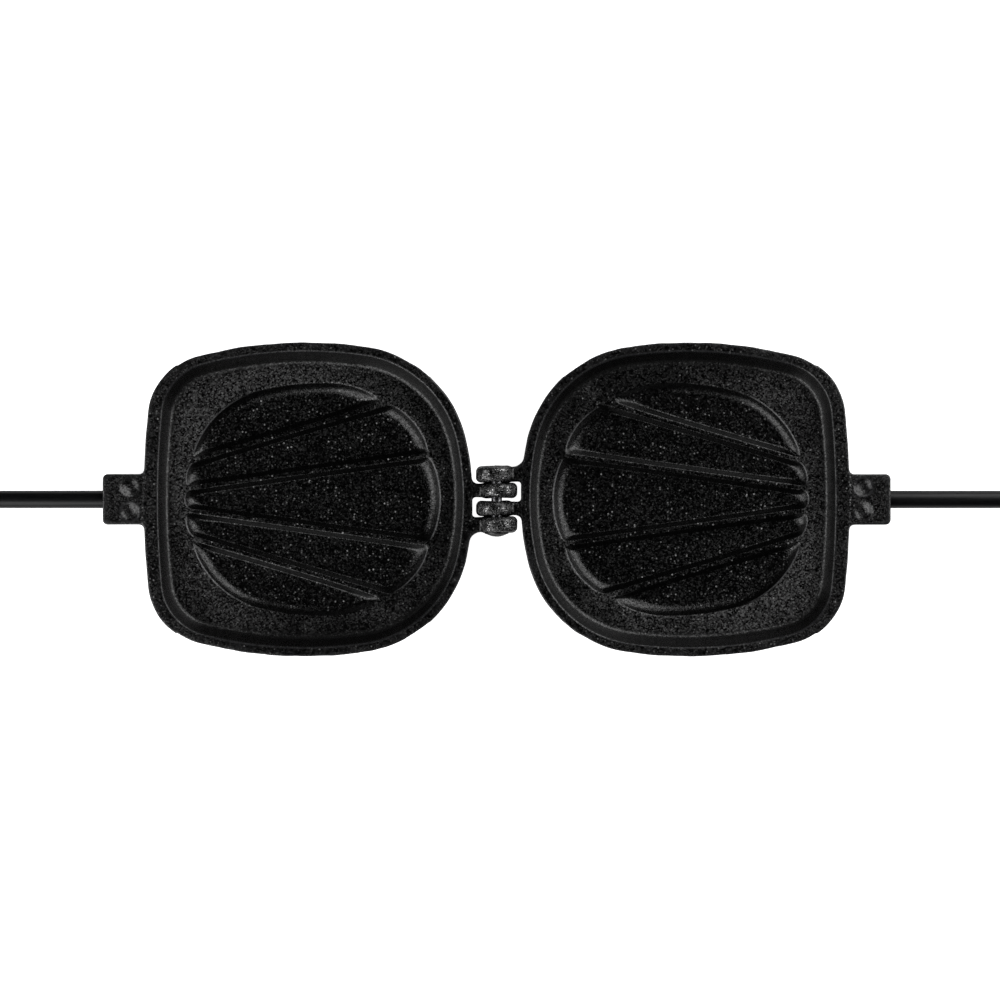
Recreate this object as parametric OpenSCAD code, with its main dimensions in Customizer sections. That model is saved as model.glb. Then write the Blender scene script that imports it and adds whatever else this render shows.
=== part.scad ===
// Pie iron: two cast dishes with a five-lobed shell pressed into each, joined by a
// finger hinge, each on a long rod with half of a turned wooden grip.
// X runs along the handles, the hinge axis lies along Y over x = 0, and the opened
// iron rests on z = 0 with both cooking faces up.
// Both dishes are one casting, modelled with its handle toward +X and turned round for
// the left half.

/* [Dish outline] */
// Half of the width across the long sides
dish_half_w = 71.1; // [69:0.1:73]
// Hinge axis to the middle of the near side
dish_near = 11.1; // [11:0.1:12.5]
// Hinge axis to the middle of the far side, where the tab starts
dish_far = 159.5; // [157:0.5:164]
// Hinge axis to the widest place
dish_widest = 86.2; // [84:0.2:90]
// Radius of the near side, next to the hinge
near_side_r = 129; // [120:1:140]
// Radius of the two long sides
long_side_r = 193; // [180:1:210]
// Radius of the far side, at the tab
far_side_r = 426; // [380:1:460]
// Radius of the two near corners
near_corner_r = 54.4; // [50:0.2:58]
// Radius of the two far corners
far_corner_r = 30.2; // [28:0.2:34]

/* [Dish section] */
// Depth of the cavity below the meeting face
cavity_d = 10; // [8:0.5:12]
// Depth of the shell lobes below the cavity floor
lobe_d = 3; // [2:0.5:4]
// Thickness of iron under the floors
floor_t = 4; // [3.5:0.5:5]
// Width of the flat rim on the near side
near_rim = 3; // [2.6:0.1:4]
// Width of the flat rim on the long sides
long_rim = 3.3; // [2.8:0.1:4]
// Width of the flat rim on the far side
far_rim = 6.2; // [5:0.1:7]
// Height of the upright band round the outside of the rim
band_h = 3; // [2:0.5:4]
// Draught of the outside wall, in degrees from upright
draught = 25; // [20:1:28]
// Draught of the cavity's wall, in degrees from upright
cavity_draught = 22; // [16:1:26]
// Rounding of the outer rim edge
rim_round = 0.8; // [0.5:0.1:1.2]
// Rounding of the edge at the mouth of the cavity
mouth_round = 0.6; // [0.4:0.1:1]
// Fillet between the cavity wall and its floor
floor_round = 2; // [1.5:0.5:4]
// Rounding under the dish, between wall and base
base_round = 6; // [4:0.5:7]

/* [Shell] */
// Half of the width of the whole shell
shell_half_w = 53; // [51:0.2:54]
// Hinge axis to the near end of the shell
shell_near = 26.2; // [25:0.1:28]
// Hinge axis to the far end of the shell, where the ribs draw together
shell_far = 139.7; // [137:0.1:141]
// Hinge axis to the widest place of the shell
shell_widest = 77.8; // [75:0.2:80]
// Radius of the near end of the shell
shell_near_r = 57; // [56:0.5:60]
// Radius of the long sides of the shell
shell_long_r = 128; // [120:1:140]
// Radius of the far end of the shell
shell_far_r = 75; // [70:1:80]
// Radius of the near shoulders of the shell
shell_near_corner_r = 49.9; // [48:0.1:52]
// Radius of the far shoulders of the shell
shell_far_corner_r = 42.2; // [40:0.2:44]
// Distance of an inner rib from the middle line, at the far end of the shell
inner_rib_at = 5.8; // [5:0.1:7]
// Slope of the inner ribs to the middle line
inner_rib_angle = 7.9; // [6:0.1:9]
// Distance of an outer rib from the middle line, at the far end of the shell
outer_rib_at = 16.6; // [15:0.1:18]
// Slope of the outer ribs to the middle line
outer_rib_angle = 16.4; // [15:0.1:18]
// Width of a rib at its crest
rib_crest = 1.8; // [0.8:0.1:2.4]
// Width of a rib at its root
rib_root = 5; // [4:0.1:6]
// Width of the sloping wall at the ends of a lobe
lobe_wall = 5; // [4:0.5:6]
// Rounding of a lobe's corners, seen from above
lobe_corner_r = 2.6; // [2:0.1:3.2]

/* [Hinge] */
// Diameter of the hinge pin
pin_d = 4.8; // [4.2:0.1:5.4]
// Diameter of the pin's head
pin_head_d = 10.9; // [9:0.1:12]
// Height of the pin's domed head
pin_head_h = 1.9; // [1.4:0.1:2.6]
// Radius of the round end of a finger
knuckle_r = 7.9; // [7.5:0.1:8.2]
// How far the round end is set past the pin, toward the free end
knuckle_past = 1.1; // [0.8:0.1:1.3]
// Distance of each inner finger from the middle line
inner_finger_at = 1; // [0.8:0.1:1.4]
// Width of the inner finger
inner_finger_w = 6.2; // [5.6:0.1:6.8]
// Width of the outer finger
outer_finger_w = 6.8; // [6:0.1:8]
// Fillet between the outer finger and the rim
outer_web_r = 5; // [4:0.5:6]
// Fillet between the inner finger and the rim
inner_web_r = 3; // [2:0.5:3.5]
// Fillet in the corners between the two fingers
slot_web_r = 1.8; // [1:0.1:2]

/* [Tab] */
// Width of the tab that the rod screws into
tab_w = 22.9; // [20:0.1:26]
// Length of the tab beyond the far side
tab_l = 18.5; // [16:0.5:22]
// Thickness of the tab
tab_t = 14; // [13:0.5:14]
// Rounding of the tab's end corners
tab_corner_r = 2.3; // [1.5:0.1:3]
// Fillet between the tab and the far side
tab_web_r = 2.8; // [2:0.1:4]
// Far side to the locating bump and its dimple
bump_at = 6.7; // [6:0.1:8]
// Distance of bump and dimple from the middle line
bump_side = 5.3; // [5:0.1:6]
// Radius of the bump where it leaves the face
bump_r = 3.4; // [3:0.1:3.6]
// Height of the bump
bump_h = 1.8; // [1.4:0.1:2]

/* [Rod] */
// Diameter of the rod
rod_d = 8; // [7.5:0.1:8]
// Length of the rod's thread inside the tab
rod_seat = 15; // [12:0.5:15.5]
// Depth of the rod's middle below the meeting face
rod_drop = 7; // [7:0.1:7.5]
// Hinge axis to the shoulder that carries the grip
shoulder_at = 565; // [400:5:650]
// Diameter of the rod's thin end, through the grip
spigot_d = 6; // [5:0.1:6]

/* [Grip] */
// Length of the wooden grip
grip_l = 130; // [100:5:150]
// Distance of the flat sawn face below the meeting face
grip_sawn = 0.4; // [0.2:0.1:1]
// Radius of the turned grip at its front face
grip_front_r = 14.2; // [14:0.1:15]
// Radius of the turned grip at its end face
grip_end_r = 14.6; // [14:0.1:15.5]
// Rounding of the grip's end edges
grip_round = 2; // [1:0.5:3]
// Length of the swell from either end of the grip to its belly
swell_l = 39; // [20:1:50]
// Outer diameter of the washers at both ends of the grips
washer_d = 13; // [11:0.1:13.2]
// Thickness of the washers
washer_t = 1.2; // [1:0.1:1.6]

/* [Latch] */
// Thickness of the latch plate
latch_t = 2; // [1.5:0.1:2.5]
// Width of the rim of metal round the latch's slot
latch_rim = 4.4; // [3.5:0.1:5]
// Radius of the latch's eye
eye_r = 6.5; // [5.5:0.1:6.6]
// Diameter of the sleeve that the slot hooks over
sleeve_d = 8; // [7.5:0.1:8.4]
// Width across the flats of the cap nuts
nut_w = 10; // [9:0.5:10]
// Height of the hexagon of the cap nuts
nut_h = 5; // [4:0.5:6]
// Radius of the dome of the cap nuts
nut_dome_r = 4.7; // [4:0.1:4.7]
// How far the dome's round end stands off the hexagon
dome_rise = 1.5; // [1:0.1:2]

/* [Fits] */
// Radial play of the hinge pin in the fingers
pin_fit = 0.08; // [0.04:0.01:0.1]
// Radial play of threads and sleeves on the rods
rod_fit = 0.05; // [0.03:0.01:0.08]
// Gap between the two meeting faces when the iron is shut
shut_gap = 0.3; // [0.2:0.05:0.5]
// Gap between a finger and the next one at the sides
finger_gap = 0.8; // [0.5:0.1:1]
// Gap all round between the locating bump and its dimple
bump_gap = 0.4; // [0.3:0.05:0.6]
// Play of the latch plate between washer and nut, at each face
latch_gap = 0.3; // [0.2:0.05:0.5]
// Gap round the sleeve in the latch's slot
slot_gap = 0.3; // [0.2:0.05:0.5]

/* [Hidden] */
$fn = 96;
// Fragments of circles that only stand inside a hull
hull_fn = 24;
// Chords that stand for one arc in a drawn outline
arc_steps = 8;
// Chords in a rounding of a section, and in a swell of the grip
bend_steps = 4;
swell_steps = 6;
// How far a cut reaches past the face it opens
over = 1;
// Thickness of the slices that a lobe is stretched over
skin = 0.02;
// How far a shape reaches into the wall it grows from
bite = 9;
// Height of the raised shell under the dish, as deep as the lobes
foot_h = lobe_d;
// How far the raised shell leans in at its foot, and out at its root
foot_in = 2;
foot_out = 2;

iron_h = cavity_d + lobe_d + floor_t;
cavity_z = iron_h - cavity_d;
lobe_z = cavity_z - lobe_d;
pin_z = iron_h + shut_gap / 2;
rod_z = iron_h - rod_drop;
finger_free = inner_finger_at + inner_finger_w + finger_gap;
// Y range of the casting's own fingers
inner_finger = [-inner_finger_at - inner_finger_w, -inner_finger_at];
outer_finger = [finger_free, finger_free + outer_finger_w];
pin_end = finger_free + outer_finger_w;
tab_end = dish_far + tab_l;
rod_start = tab_end - rod_seat;
grip_start = shoulder_at + washer_t;
grip_end = grip_start + grip_l;
end_washer_at = grip_end;
sleeve_at = end_washer_at + washer_t;
sleeve_l = latch_t + 2 * latch_gap;
nut_at = sleeve_at + sleeve_l;
// The rod ends just inside the dome of its nut
spigot_end = nut_at + nut_h + over;
// Radius of the turned grip at its belly, so that it lies level with the feet
belly_r = iron_h;
// Distance between the two rods when the iron is shut
rod_pitch = 2 * rod_drop + shut_gap;
slot_r = sleeve_d / 2 + slot_gap;
hook_r = slot_r + latch_rim;

// Colours of the materials
iron_black = [0.15, 0.15, 0.16];
rod_black = [0.08, 0.08, 0.09];
steel_grey = [0.62, 0.62, 0.64];
wood_brown = [0.62, 0.42, 0.24];

// Outlines made of tangent arcs

// Direction of a vector, from 0 to 360 degrees
function heading(v) = (atan2(v.y, v.x) + 360) % 360;

// Centre of the circle of radius r that touches two larger circles from inside
function corner_centre(c1, r1, c2, r2, r) =
    let (d1 = r1 - r, d2 = r2 - r, gap = c2 - c1, d = norm(gap),
         a = (d1 * d1 - d2 * d2 + d * d) / (2 * d),
         h = sqrt(d1 * d1 - a * a),
         side = [-gap.y, gap.x] / d,
         p = c1 + a * gap / d + h * side,
         q = c1 + a * gap / d - h * side)
    p.y > q.y ? p : q;

// Turns an arc of the upper half into its mirror image below the middle line
function flipped(arc) = [[arc[0].x, -arc[0].y], arc[1], 360 - arc[3], 360 - arc[2]];

// Eight arcs, each [centre, radius, start angle, end angle], counter-clockwise
function egg(near, far, half_w, widest, near_r, long_r, far_r, near_corner, far_corner) =
    let (n = [near + near_r, 0],
         l = [widest, half_w - long_r],
         f = [far - far_r, 0],
         nc = corner_centre(n, near_r, l, long_r, near_corner),
         fc = corner_centre(f, far_r, l, long_r, far_corner),
         t1 = heading(fc - f),
         t2 = heading(fc - l),
         t3 = heading(nc - l),
         t4 = heading(nc - n),
         far_bend = [fc, far_corner, t1, t2],
         flank = [l, long_r, t2, t3],
         near_bend = [nc, near_corner, t3, t4])
    [[f, far_r, -t1, t1], far_bend, flank, near_bend,
     [n, near_r, t4, 360 - t4], flipped(near_bend), flipped(flank), flipped(far_bend)];

// Points along an outline, set in from it by a distance
function outline_points(arcs, inset) =
    [for (arc = arcs) for (i = [0 : arc_steps - 1])
        let (t = arc[2] + (arc[3] - arc[2]) * i / arc_steps)
        arc[0] + (arc[1] - inset) * [cos(t), sin(t)]];

// Points of a rounding in a section, as [inset, z]
function bend(at, r, from, to) =
    [for (i = [0 : bend_steps])
        let (t = from + (to - from) * i / bend_steps)
        at + r * [cos(t), sin(t)]];

// How far a rounding's centre stands off the corner of a wall that leans by an angle
function turn(r, lean) = r * tan(45 - lean / 2);

rim_line = egg(dish_near, dish_far, dish_half_w, dish_widest,
               near_side_r, long_side_r, far_side_r, near_corner_r, far_corner_r);
mouth_line = egg(dish_near + near_rim, dish_far - far_rim, dish_half_w - long_rim,
                 dish_widest, near_side_r - near_rim, long_side_r - long_rim,
                 far_side_r - far_rim, near_corner_r - near_rim, far_corner_r - long_rim);
shell_line = egg(shell_near, shell_far, shell_half_w, shell_widest, shell_near_r,
                 shell_long_r, shell_far_r, shell_near_corner_r, shell_far_corner_r);

// A solid whose outline is set in ring by ring, from its lowest ring to its highest.
// Each step of the section is [inset, z].
module rings(arcs, section) {
    count = len(outline_points(arcs, 0));
    last = len(section) - 1;
    points = [for (step = section) for (p = outline_points(arcs, step.x)) [p.x, p.y, step.y]];
    sides = [for (k = [0 : last - 1]) for (i = [0 : count - 1])
        let (j = (i + 1) % count)
        [k * count + i, (k + 1) * count + i, (k + 1) * count + j, k * count + j]];
    base = [for (i = [0 : count - 1]) i];
    lid = [for (i = [count - 1 : -1 : 0]) last * count + i];
    polyhedron(points, concat([base, lid], sides));
}

// The casting

// Where the draughted outside wall would meet the base plane
base_in = (iron_h - band_h - foot_h) * tan(draught);
outside_section = concat(
    bend([base_in + turn(base_round, draught), foot_h + base_round], base_round,
         -90, draught - 180),
    [[0, iron_h - band_h]],
    bend([rim_round, iron_h - rim_round], rim_round, 180, 90));

wall_in = cavity_d * tan(cavity_draught);
cavity_section = concat(
    bend([wall_in + turn(floor_round, cavity_draught), cavity_z + floor_round], floor_round,
         -90, cavity_draught - 180),
    bend([-turn(mouth_round, cavity_draught), iron_h - mouth_round], mouth_round,
         cavity_draught, 90),
    [[-turn(mouth_round, cavity_draught), iron_h + over]]);

foot_section = [[foot_in, 0], [-foot_out, foot_h], [-foot_out, foot_h + over]];

// Each rib as [distance from the middle line at the shell's far end, slope]
ribs = [[inner_rib_at, inner_rib_angle], [outer_rib_at, outer_rib_angle]];

// A point of a rib's line, moved sideways by off, where the rib is abeam of x
function rib_point(rib, x, off) =
    [x, rib[0] + (shell_far - x) * tan(rib[1]) + off / cos(rib[1])];

// The strip between two lines that each run from one end of the shell to the other.
// lobe is 0 for the middle one, 1 and 2 for those beside it.
module strip(lobe, side) {
    x0 = shell_near - over;
    x1 = shell_far + over;
    low = lobe == 0
        ? [[x0, 0], [x1, 0]]
        : [rib_point(ribs[lobe - 1], x0, side), rib_point(ribs[lobe - 1], x1, side)];
    high = lobe == 2
        ? [[x1, dish_half_w], [x0, dish_half_w]]
        : [rib_point(ribs[lobe], x1, -side), rib_point(ribs[lobe], x0, -side)];
    polygon(concat(low, high));
    if (lobe == 0)
        mirror([0, 1])
            polygon(concat(low, high));
}

// A lobe's wall from its floor to its edge, as parts of its height and of its width
lobe_wall_steps = [[0, 1], [0.12, 0.72], [0.4, 0.42], [1, 0]];

// One lobe, as the space it takes out of the dish floor
module lobe_cut(lobe) {
    hull()
        for (s = lobe_wall_steps) {
            side = rib_crest / 2 + s[1] * (rib_root - rib_crest) / 2;
            translate([0, 0, lobe_z + s[0] * lobe_d])
                linear_extrude(height = skin)
                    offset(r = lobe_corner_r, $fn = hull_fn)
                        offset(delta = -lobe_corner_r)
                            intersection() {
                                polygon(outline_points(shell_line, s[1] * lobe_wall));
                                strip(lobe, side);
                            }
        }
}

// Plan of the fillet between an edge along X at y and a round side of the dish.
// way is +1 where the fillet lies past y and -1 where it lies short of it, and end is
// -1 at the hinge and +1 at the tab.
module web(y, r, way, end) {
    side_r = end < 0 ? near_side_r : far_side_r;
    c = end < 0 ? [dish_near + near_side_r, 0] : [dish_far - far_side_r, 0];
    cy = y + way * r;
    m = [c.x + end * sqrt(pow(side_r + r, 2) - cy * cy), cy];
    t = c + (side_r - over) * (m - c) / norm(m - c);
    deep = (end < 0 ? dish_near : dish_far) - end * bite;
    difference() {
        polygon([[m.x, y - way * over / 2], m, t, [deep, t.y], [deep, y - way * over / 2]]);
        translate(m)
            circle(r = r);
    }
}

// A finger of the hinge, from its round end to the near wall
module finger(range) {
    translate([0, range[1], 0])
        rotate([90, 0, 0])
            linear_extrude(height = range[1] - range[0]) {
                translate([-knuckle_past, pin_z])
                    circle(r = knuckle_r);
                translate([-knuckle_past, pin_z - knuckle_r])
                    square([knuckle_past + dish_near + bite, knuckle_r - shut_gap / 2]);
            }
}

// Plan of the tab, square at its root and rounded at its end corners
module tab_plan() {
    translate([dish_far - bite, -tab_w / 2])
        square([tab_l + bite - tab_corner_r, tab_w]);
    translate([dish_far, -tab_w / 2 + tab_corner_r])
        square([tab_l, tab_w - 2 * tab_corner_r]);
    for (s = [-1, 1])
        translate([tab_end - tab_corner_r, s * (tab_w / 2 - tab_corner_r)])
            circle(r = tab_corner_r);
}

// Radius of the ball that shows as a cap of radius r and height h
function cap_ball(r, h) = (r * r + h * h) / (2 * h);

module casting() {
    bump_ball = cap_ball(bump_r, bump_h);
    neck_z = pin_z - knuckle_r;
    difference() {
        union() {
            rings(rim_line, outside_section);
            rings(shell_line, foot_section);
            finger(inner_finger);
            finger(outer_finger);
            translate([0, 0, neck_z])
                linear_extrude(height = iron_h - neck_z) {
                    web(outer_finger[1], outer_web_r, 1, -1);
                    web(outer_finger[0], slot_web_r, -1, -1);
                    web(inner_finger[1], slot_web_r, 1, -1);
                    web(inner_finger[0], inner_web_r, -1, -1);
                }
            translate([0, 0, iron_h - tab_t])
                linear_extrude(height = tab_t) {
                    tab_plan();
                    web(tab_w / 2, tab_web_r, 1, 1);
                    web(-tab_w / 2, tab_web_r, -1, 1);
                }
            translate([dish_far + bump_at, -bump_side, iron_h + bump_h - bump_ball])
                sphere(r = bump_ball);
        }
        rings(mouth_line, cavity_section);
        for (lobe = [0 : 2])
            lobe_cut(lobe);
        for (lobe = [1 : 2])
            mirror([0, 1, 0])
                lobe_cut(lobe);
        // Dimple that takes the other half's bump
        translate([dish_far + bump_at, bump_side, iron_h + shut_gap - bump_h + bump_ball])
            sphere(r = bump_ball + bump_gap);
        // Bore for the hinge pin
        translate([0, 0, pin_z])
            rotate([90, 0, 0])
                cylinder(h = 2 * pin_end + 4 * over, r = pin_d / 2 + pin_fit, center = true);
        // Tapped hole for the rod
        translate([rod_start, 0, rod_z])
            rotate([0, 90, 0])
                cylinder(h = rod_seat + over, r = rod_d / 2 + rod_fit);
    }
}

module left_iron() {
    color(iron_black)
        rotate([0, 0, 180])
            casting();
}

module right_iron() {
    color(iron_black)
        casting();
}

// The pin goes in from the -Y side and its far end is flush
module hinge_pin() {
    ball = cap_ball(pin_head_d / 2, pin_head_h);
    color(rod_black)
        translate([0, -pin_end, pin_z])
            rotate([-90, 0, 0]) {
                cylinder(h = 2 * pin_end, r = pin_d / 2);
                intersection() {
                    translate([0, 0, ball - pin_head_h])
                        sphere(r = ball);
                    translate([0, 0, -pin_head_h - over])
                        cylinder(h = pin_head_h + over, r = pin_head_d / 2 + over);
                }
            }
}

// Handles

// Places a piece on the rod's line of the right half, or of the left half
module on_rod(side, at) {
    rotate([0, 0, side > 0 ? 0 : 180])
        translate([at, 0, rod_z])
            rotate([0, 90, 0])
                children();
}

module rod(side) {
    color(rod_black)
        on_rod(side, rod_start) {
            cylinder(h = shoulder_at - rod_start, r = rod_d / 2);
            cylinder(h = spigot_end - rod_start, r = spigot_d / 2);
        }
}

module left_rod() {
    rod(-1);
}

module right_rod() {
    rod(1);
}

module washer(side, at) {
    color(steel_grey)
        on_rod(side, at)
            difference() {
                cylinder(h = washer_t, r = washer_d / 2);
                translate([0, 0, -over])
                    cylinder(h = washer_t + 2 * over, r = spigot_d / 2 + rod_fit);
            }
}

module left_front_washer() {
    washer(-1, shoulder_at);
}

module right_front_washer() {
    washer(1, shoulder_at);
}

module left_end_washer() {
    washer(-1, end_washer_at);
}

module right_end_washer() {
    washer(1, end_washer_at);
}

// A smooth step from 0 to 1
function ease(t) = (1 - cos(180 * t)) / 2;

// The turned grip's outline, as [distance from its front face, radius]
grip_profile = concat(
    [[0, 0]],
    [for (i = [0 : swell_steps])
        let (t = 90 * i / swell_steps)
        [grip_round * (1 - cos(t)), grip_front_r - grip_round * (1 - sin(t)) / 2]],
    [for (i = [1 : swell_steps])
        [grip_round + (swell_l - grip_round) * i / swell_steps,
         grip_front_r + (belly_r - grip_front_r) * ease(i / swell_steps)]],
    [for (i = [0 : swell_steps])
        [grip_l - swell_l + (swell_l - grip_round) * i / swell_steps,
         belly_r + (grip_end_r - belly_r) * ease(i / swell_steps)]],
    [for (i = [1 : swell_steps])
        let (t = 90 * i / swell_steps)
        [grip_l - grip_round * (1 - sin(t)), grip_end_r - grip_round * (1 - cos(t)) / 2]],
    [[grip_l, 0]]);

// Half of a grip that was turned whole and sawn along its middle
module grip(side) {
    sawn_z = iron_h - grip_sawn;
    color(wood_brown)
        rotate([0, 0, side > 0 ? 0 : 180])
            difference() {
                translate([grip_start, 0, iron_h])
                    rotate([0, 90, 0])
                        rotate_extrude()
                            polygon([for (p = grip_profile) [p.y, p.x]]);
                translate([grip_start - over, -2 * belly_r, sawn_z])
                    cube([grip_l + 2 * over, 4 * belly_r, 2 * belly_r]);
                translate([grip_start - over, 0, rod_z])
                    rotate([0, 90, 0])
                        cylinder(h = grip_l + 2 * over, r = spigot_d / 2 + rod_fit);
            }
}

module left_grip() {
    grip(-1);
}

module right_grip() {
    grip(1);
}

// Closed nut with a domed end
module cap_nut(side) {
    color(steel_grey)
        on_rod(side, nut_at)
            difference() {
                union() {
                    cylinder(h = nut_h, r = nut_w / 2 / cos(30), $fn = 6);
                    cylinder(h = nut_h + dome_rise, r = nut_dome_r);
                    translate([0, 0, nut_h + dome_rise])
                        sphere(r = nut_dome_r);
                }
                translate([0, 0, -over])
                    cylinder(h = spigot_end - nut_at + over, r = spigot_d / 2 + rod_fit);
            }
}

module left_cap_nut() {
    cap_nut(-1);
}

module right_cap_nut() {
    cap_nut(1);
}

// Latch

// Sleeve that keeps the right nut off its washer and takes the hook
module latch_sleeve() {
    color(steel_grey)
        on_rod(1, sleeve_at)
            difference() {
                cylinder(h = sleeve_l, r = sleeve_d / 2);
                translate([0, 0, -over])
                    cylinder(h = sleeve_l + 2 * over, r = spigot_d / 2 + rod_fit);
            }
}

// Plan of the latch: an eye at the origin and a hook one rod pitch along +X,
// with a slot that follows the hook's own swing and opens toward +Y
module latch_plan() {
    hook = [rod_pitch, 0];
    reach = rod_pitch + hook_r + over;
    difference() {
        hull() {
            circle(r = eye_r);
            translate(hook)
                circle(r = hook_r);
        }
        circle(r = spigot_d / 2 + rod_fit);
        translate(hook)
            circle(r = slot_r);
        intersection() {
            difference() {
                circle(r = rod_pitch + slot_r);
                circle(r = rod_pitch - slot_r);
            }
            polygon([[0, 0], [reach, 0], [reach, reach]]);
        }
    }
}

// The latch turns on the left rod and lies along +Y while the iron is open
module latch_plate() {
    color(steel_grey)
        translate([-sleeve_at - latch_gap - latch_t, 0, rod_z])
            rotate([90, 0, 90])
                linear_extrude(height = latch_t)
                    latch_plan();
}

left_iron();
right_iron();
hinge_pin();
left_rod();
right_rod();
left_grip();
right_grip();
left_front_washer();
right_front_washer();
left_end_washer();
right_end_washer();
latch_plate();
latch_sleeve();
left_cap_nut();
right_cap_nut();
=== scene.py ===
# Looks of a pie iron: two sand-cast dishes with a five-lobed shell, hinged at one end,
# on long rods with turned wooden grips. Metres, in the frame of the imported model.
import math
import bpy
import numpy as np
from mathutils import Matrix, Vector


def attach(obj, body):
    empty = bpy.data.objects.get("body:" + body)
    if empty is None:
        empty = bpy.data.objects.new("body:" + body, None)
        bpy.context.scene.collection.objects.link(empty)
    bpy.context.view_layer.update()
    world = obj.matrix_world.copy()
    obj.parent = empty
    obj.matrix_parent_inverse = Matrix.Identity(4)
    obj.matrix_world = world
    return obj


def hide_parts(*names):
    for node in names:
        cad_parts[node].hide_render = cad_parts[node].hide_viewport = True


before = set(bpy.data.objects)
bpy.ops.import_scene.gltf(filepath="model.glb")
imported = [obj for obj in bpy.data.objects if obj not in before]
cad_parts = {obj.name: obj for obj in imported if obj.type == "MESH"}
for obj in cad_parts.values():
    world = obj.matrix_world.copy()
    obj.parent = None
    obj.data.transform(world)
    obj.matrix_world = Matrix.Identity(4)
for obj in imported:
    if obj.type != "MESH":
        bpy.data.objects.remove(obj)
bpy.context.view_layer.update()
mm = 0.001


# Nodes and colours

def srgb(hexCode):
    parts = [int(hexCode[i:i + 2], 16) / 255 for i in (1, 3, 5)]
    return [c / 12.92 if c <= 0.04045 else ((c + 0.055) / 1.055) ** 2.4 for c in parts] + [1.0]


def addNode(tree, kind, links={}, values={}, **settings):
    node = tree.nodes.new(kind)
    for name, value in settings.items():
        setattr(node, name, value)
    for socket, value in values.items():
        node.inputs[socket].default_value = value
    for socket, source in links.items():
        tree.links.new(source, node.inputs[socket])
    return node


def newMaterial(name):
    material = bpy.data.materials.new(name)
    material.use_nodes = True
    material.node_tree.nodes.clear()
    return material, material.node_tree


def finishMaterial(tree, links, values):
    shader = addNode(tree, "ShaderNodeBsdfPrincipled", links, values)
    addNode(tree, "ShaderNodeOutputMaterial", {"Surface": shader.outputs[0]})


# Noise of a real size in millimetres
def grain(tree, coords, size, detail=2.0, roughness=0.5, **settings):
    return addNode(tree, "ShaderNodeTexNoise", {"Vector": coords},
                   {"Scale": 1 / (size * mm), "Detail": detail, "Roughness": roughness}, **settings)


# Turns a value's range low..high into 0..1, or into other ends
def fit(tree, value, low, high, toLow=0.0, toHigh=1.0):
    return addNode(tree, "ShaderNodeMapRange", {"Value": value},
                   {"From Min": low, "From Max": high, "To Min": toLow, "To Max": toHigh}).outputs[0]


def times(tree, a, b):
    return addNode(tree, "ShaderNodeMath", {0: a, 1: b}, operation="MULTIPLY").outputs[0]


def mixColour(tree, factor, a, b):
    mix = addNode(tree, "ShaderNodeMix", {0: factor}, data_type="RGBA")
    for socket, colour in ((6, a), (7, b)):
        if isinstance(colour, list):
            mix.inputs[socket].default_value = colour
        else:
            tree.links.new(colour, mix.inputs[socket])
    return mix.outputs[2]


# Meshes

def addPiece(name, body, node, materialSlot, mesh):
    piece = bpy.data.objects.new(name, mesh)
    bpy.context.scene.collection.objects.link(piece)
    mesh.materials.clear()
    mesh.materials.append(slotFinish[materialSlot])
    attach(piece, body)
    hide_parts(node)


def meshFrom(name, points, faces):
    points = np.asarray(points, dtype=np.float32)
    faces = np.asarray(faces, dtype=np.int32)
    corners = faces.shape[1]
    mesh = bpy.data.meshes.new(name)
    mesh.vertices.add(len(points))
    mesh.vertices.foreach_set("co", points.ravel())
    mesh.loops.add(faces.size)
    mesh.loops.foreach_set("vertex_index", faces.ravel())
    mesh.polygons.add(len(faces))
    mesh.polygons.foreach_set("loop_start", np.arange(0, faces.size, corners, dtype=np.int32))
    mesh.update(calc_edges=True)
    mesh.polygons.foreach_set("use_smooth", np.ones(len(faces), dtype=bool))
    return mesh


# Corner points of a cell's twelve edges
cellEdges = [(a, b) for a in np.ndindex(2, 2, 2) for b in np.ndindex(2, 2, 2)
             if sum(b) == sum(a) + 1 and all(q >= p for p, q in zip(a, b))]


# The skin where a field sampled on a lattice passes through zero, one point for each cell it crosses
def skinOf(field, origin, step):
    inside = field < 0
    cells = tuple(n - 1 for n in field.shape)
    count = np.zeros(cells, dtype=np.uint8)
    for a in np.ndindex(2, 2, 2):
        count += inside[a[0]:a[0] + cells[0], a[1]:a[1] + cells[1], a[2]:a[2] + cells[2]]
    crossed = (count > 0) & (count < 8)
    where = np.argwhere(crossed)
    number = np.full(cells, -1, dtype=np.int32)
    number[crossed] = np.arange(len(where))
    total = np.zeros((len(where), 3))
    hits = np.zeros(len(where))
    for a, b in cellEdges:
        va = field[tuple((where + a).T)]
        vb = field[tuple((where + b).T)]
        cut = (va < 0) != (vb < 0)
        along = va[cut] / (va[cut] - vb[cut])
        total[cut] += np.array(a) + along[:, None] * (np.array(b) - np.array(a))
        hits[cut] += 1
    points = origin + (where + total / hits[:, None]) * step
    faces = []
    for axis in range(3):
        u, v = [k for k in range(3) if k != axis]
        first = [slice(1, -1)] * 3
        second = [slice(1, -1)] * 3
        first[axis] = slice(0, -1)
        second[axis] = slice(1, None)
        flips = inside[tuple(first)] != inside[tuple(second)]
        at = np.argwhere(flips)
        at[:, u] += 1
        at[:, v] += 1
        out = inside[tuple(first)][flips]
        du = np.eye(3, dtype=int)[u]
        dv = np.eye(3, dtype=int)[v]
        quad = np.stack([number[tuple((at - s * du - t * dv).T)]
                         for s, t in ((0, 0), (1, 0), (1, 1), (0, 1))], axis=1)
        turned = out if axis != 1 else ~out
        quad[~turned] = quad[~turned][:, ::-1]
        faces.append(quad)
    return points, np.concatenate(faces)


# Round joins of two distance fields: a fillet where they meet, or a rounded common edge
def joined(a, b, r):
    return np.maximum(r, np.minimum(a, b)) - np.hypot(np.maximum(r - a, 0), np.maximum(r - b, 0))


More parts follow.
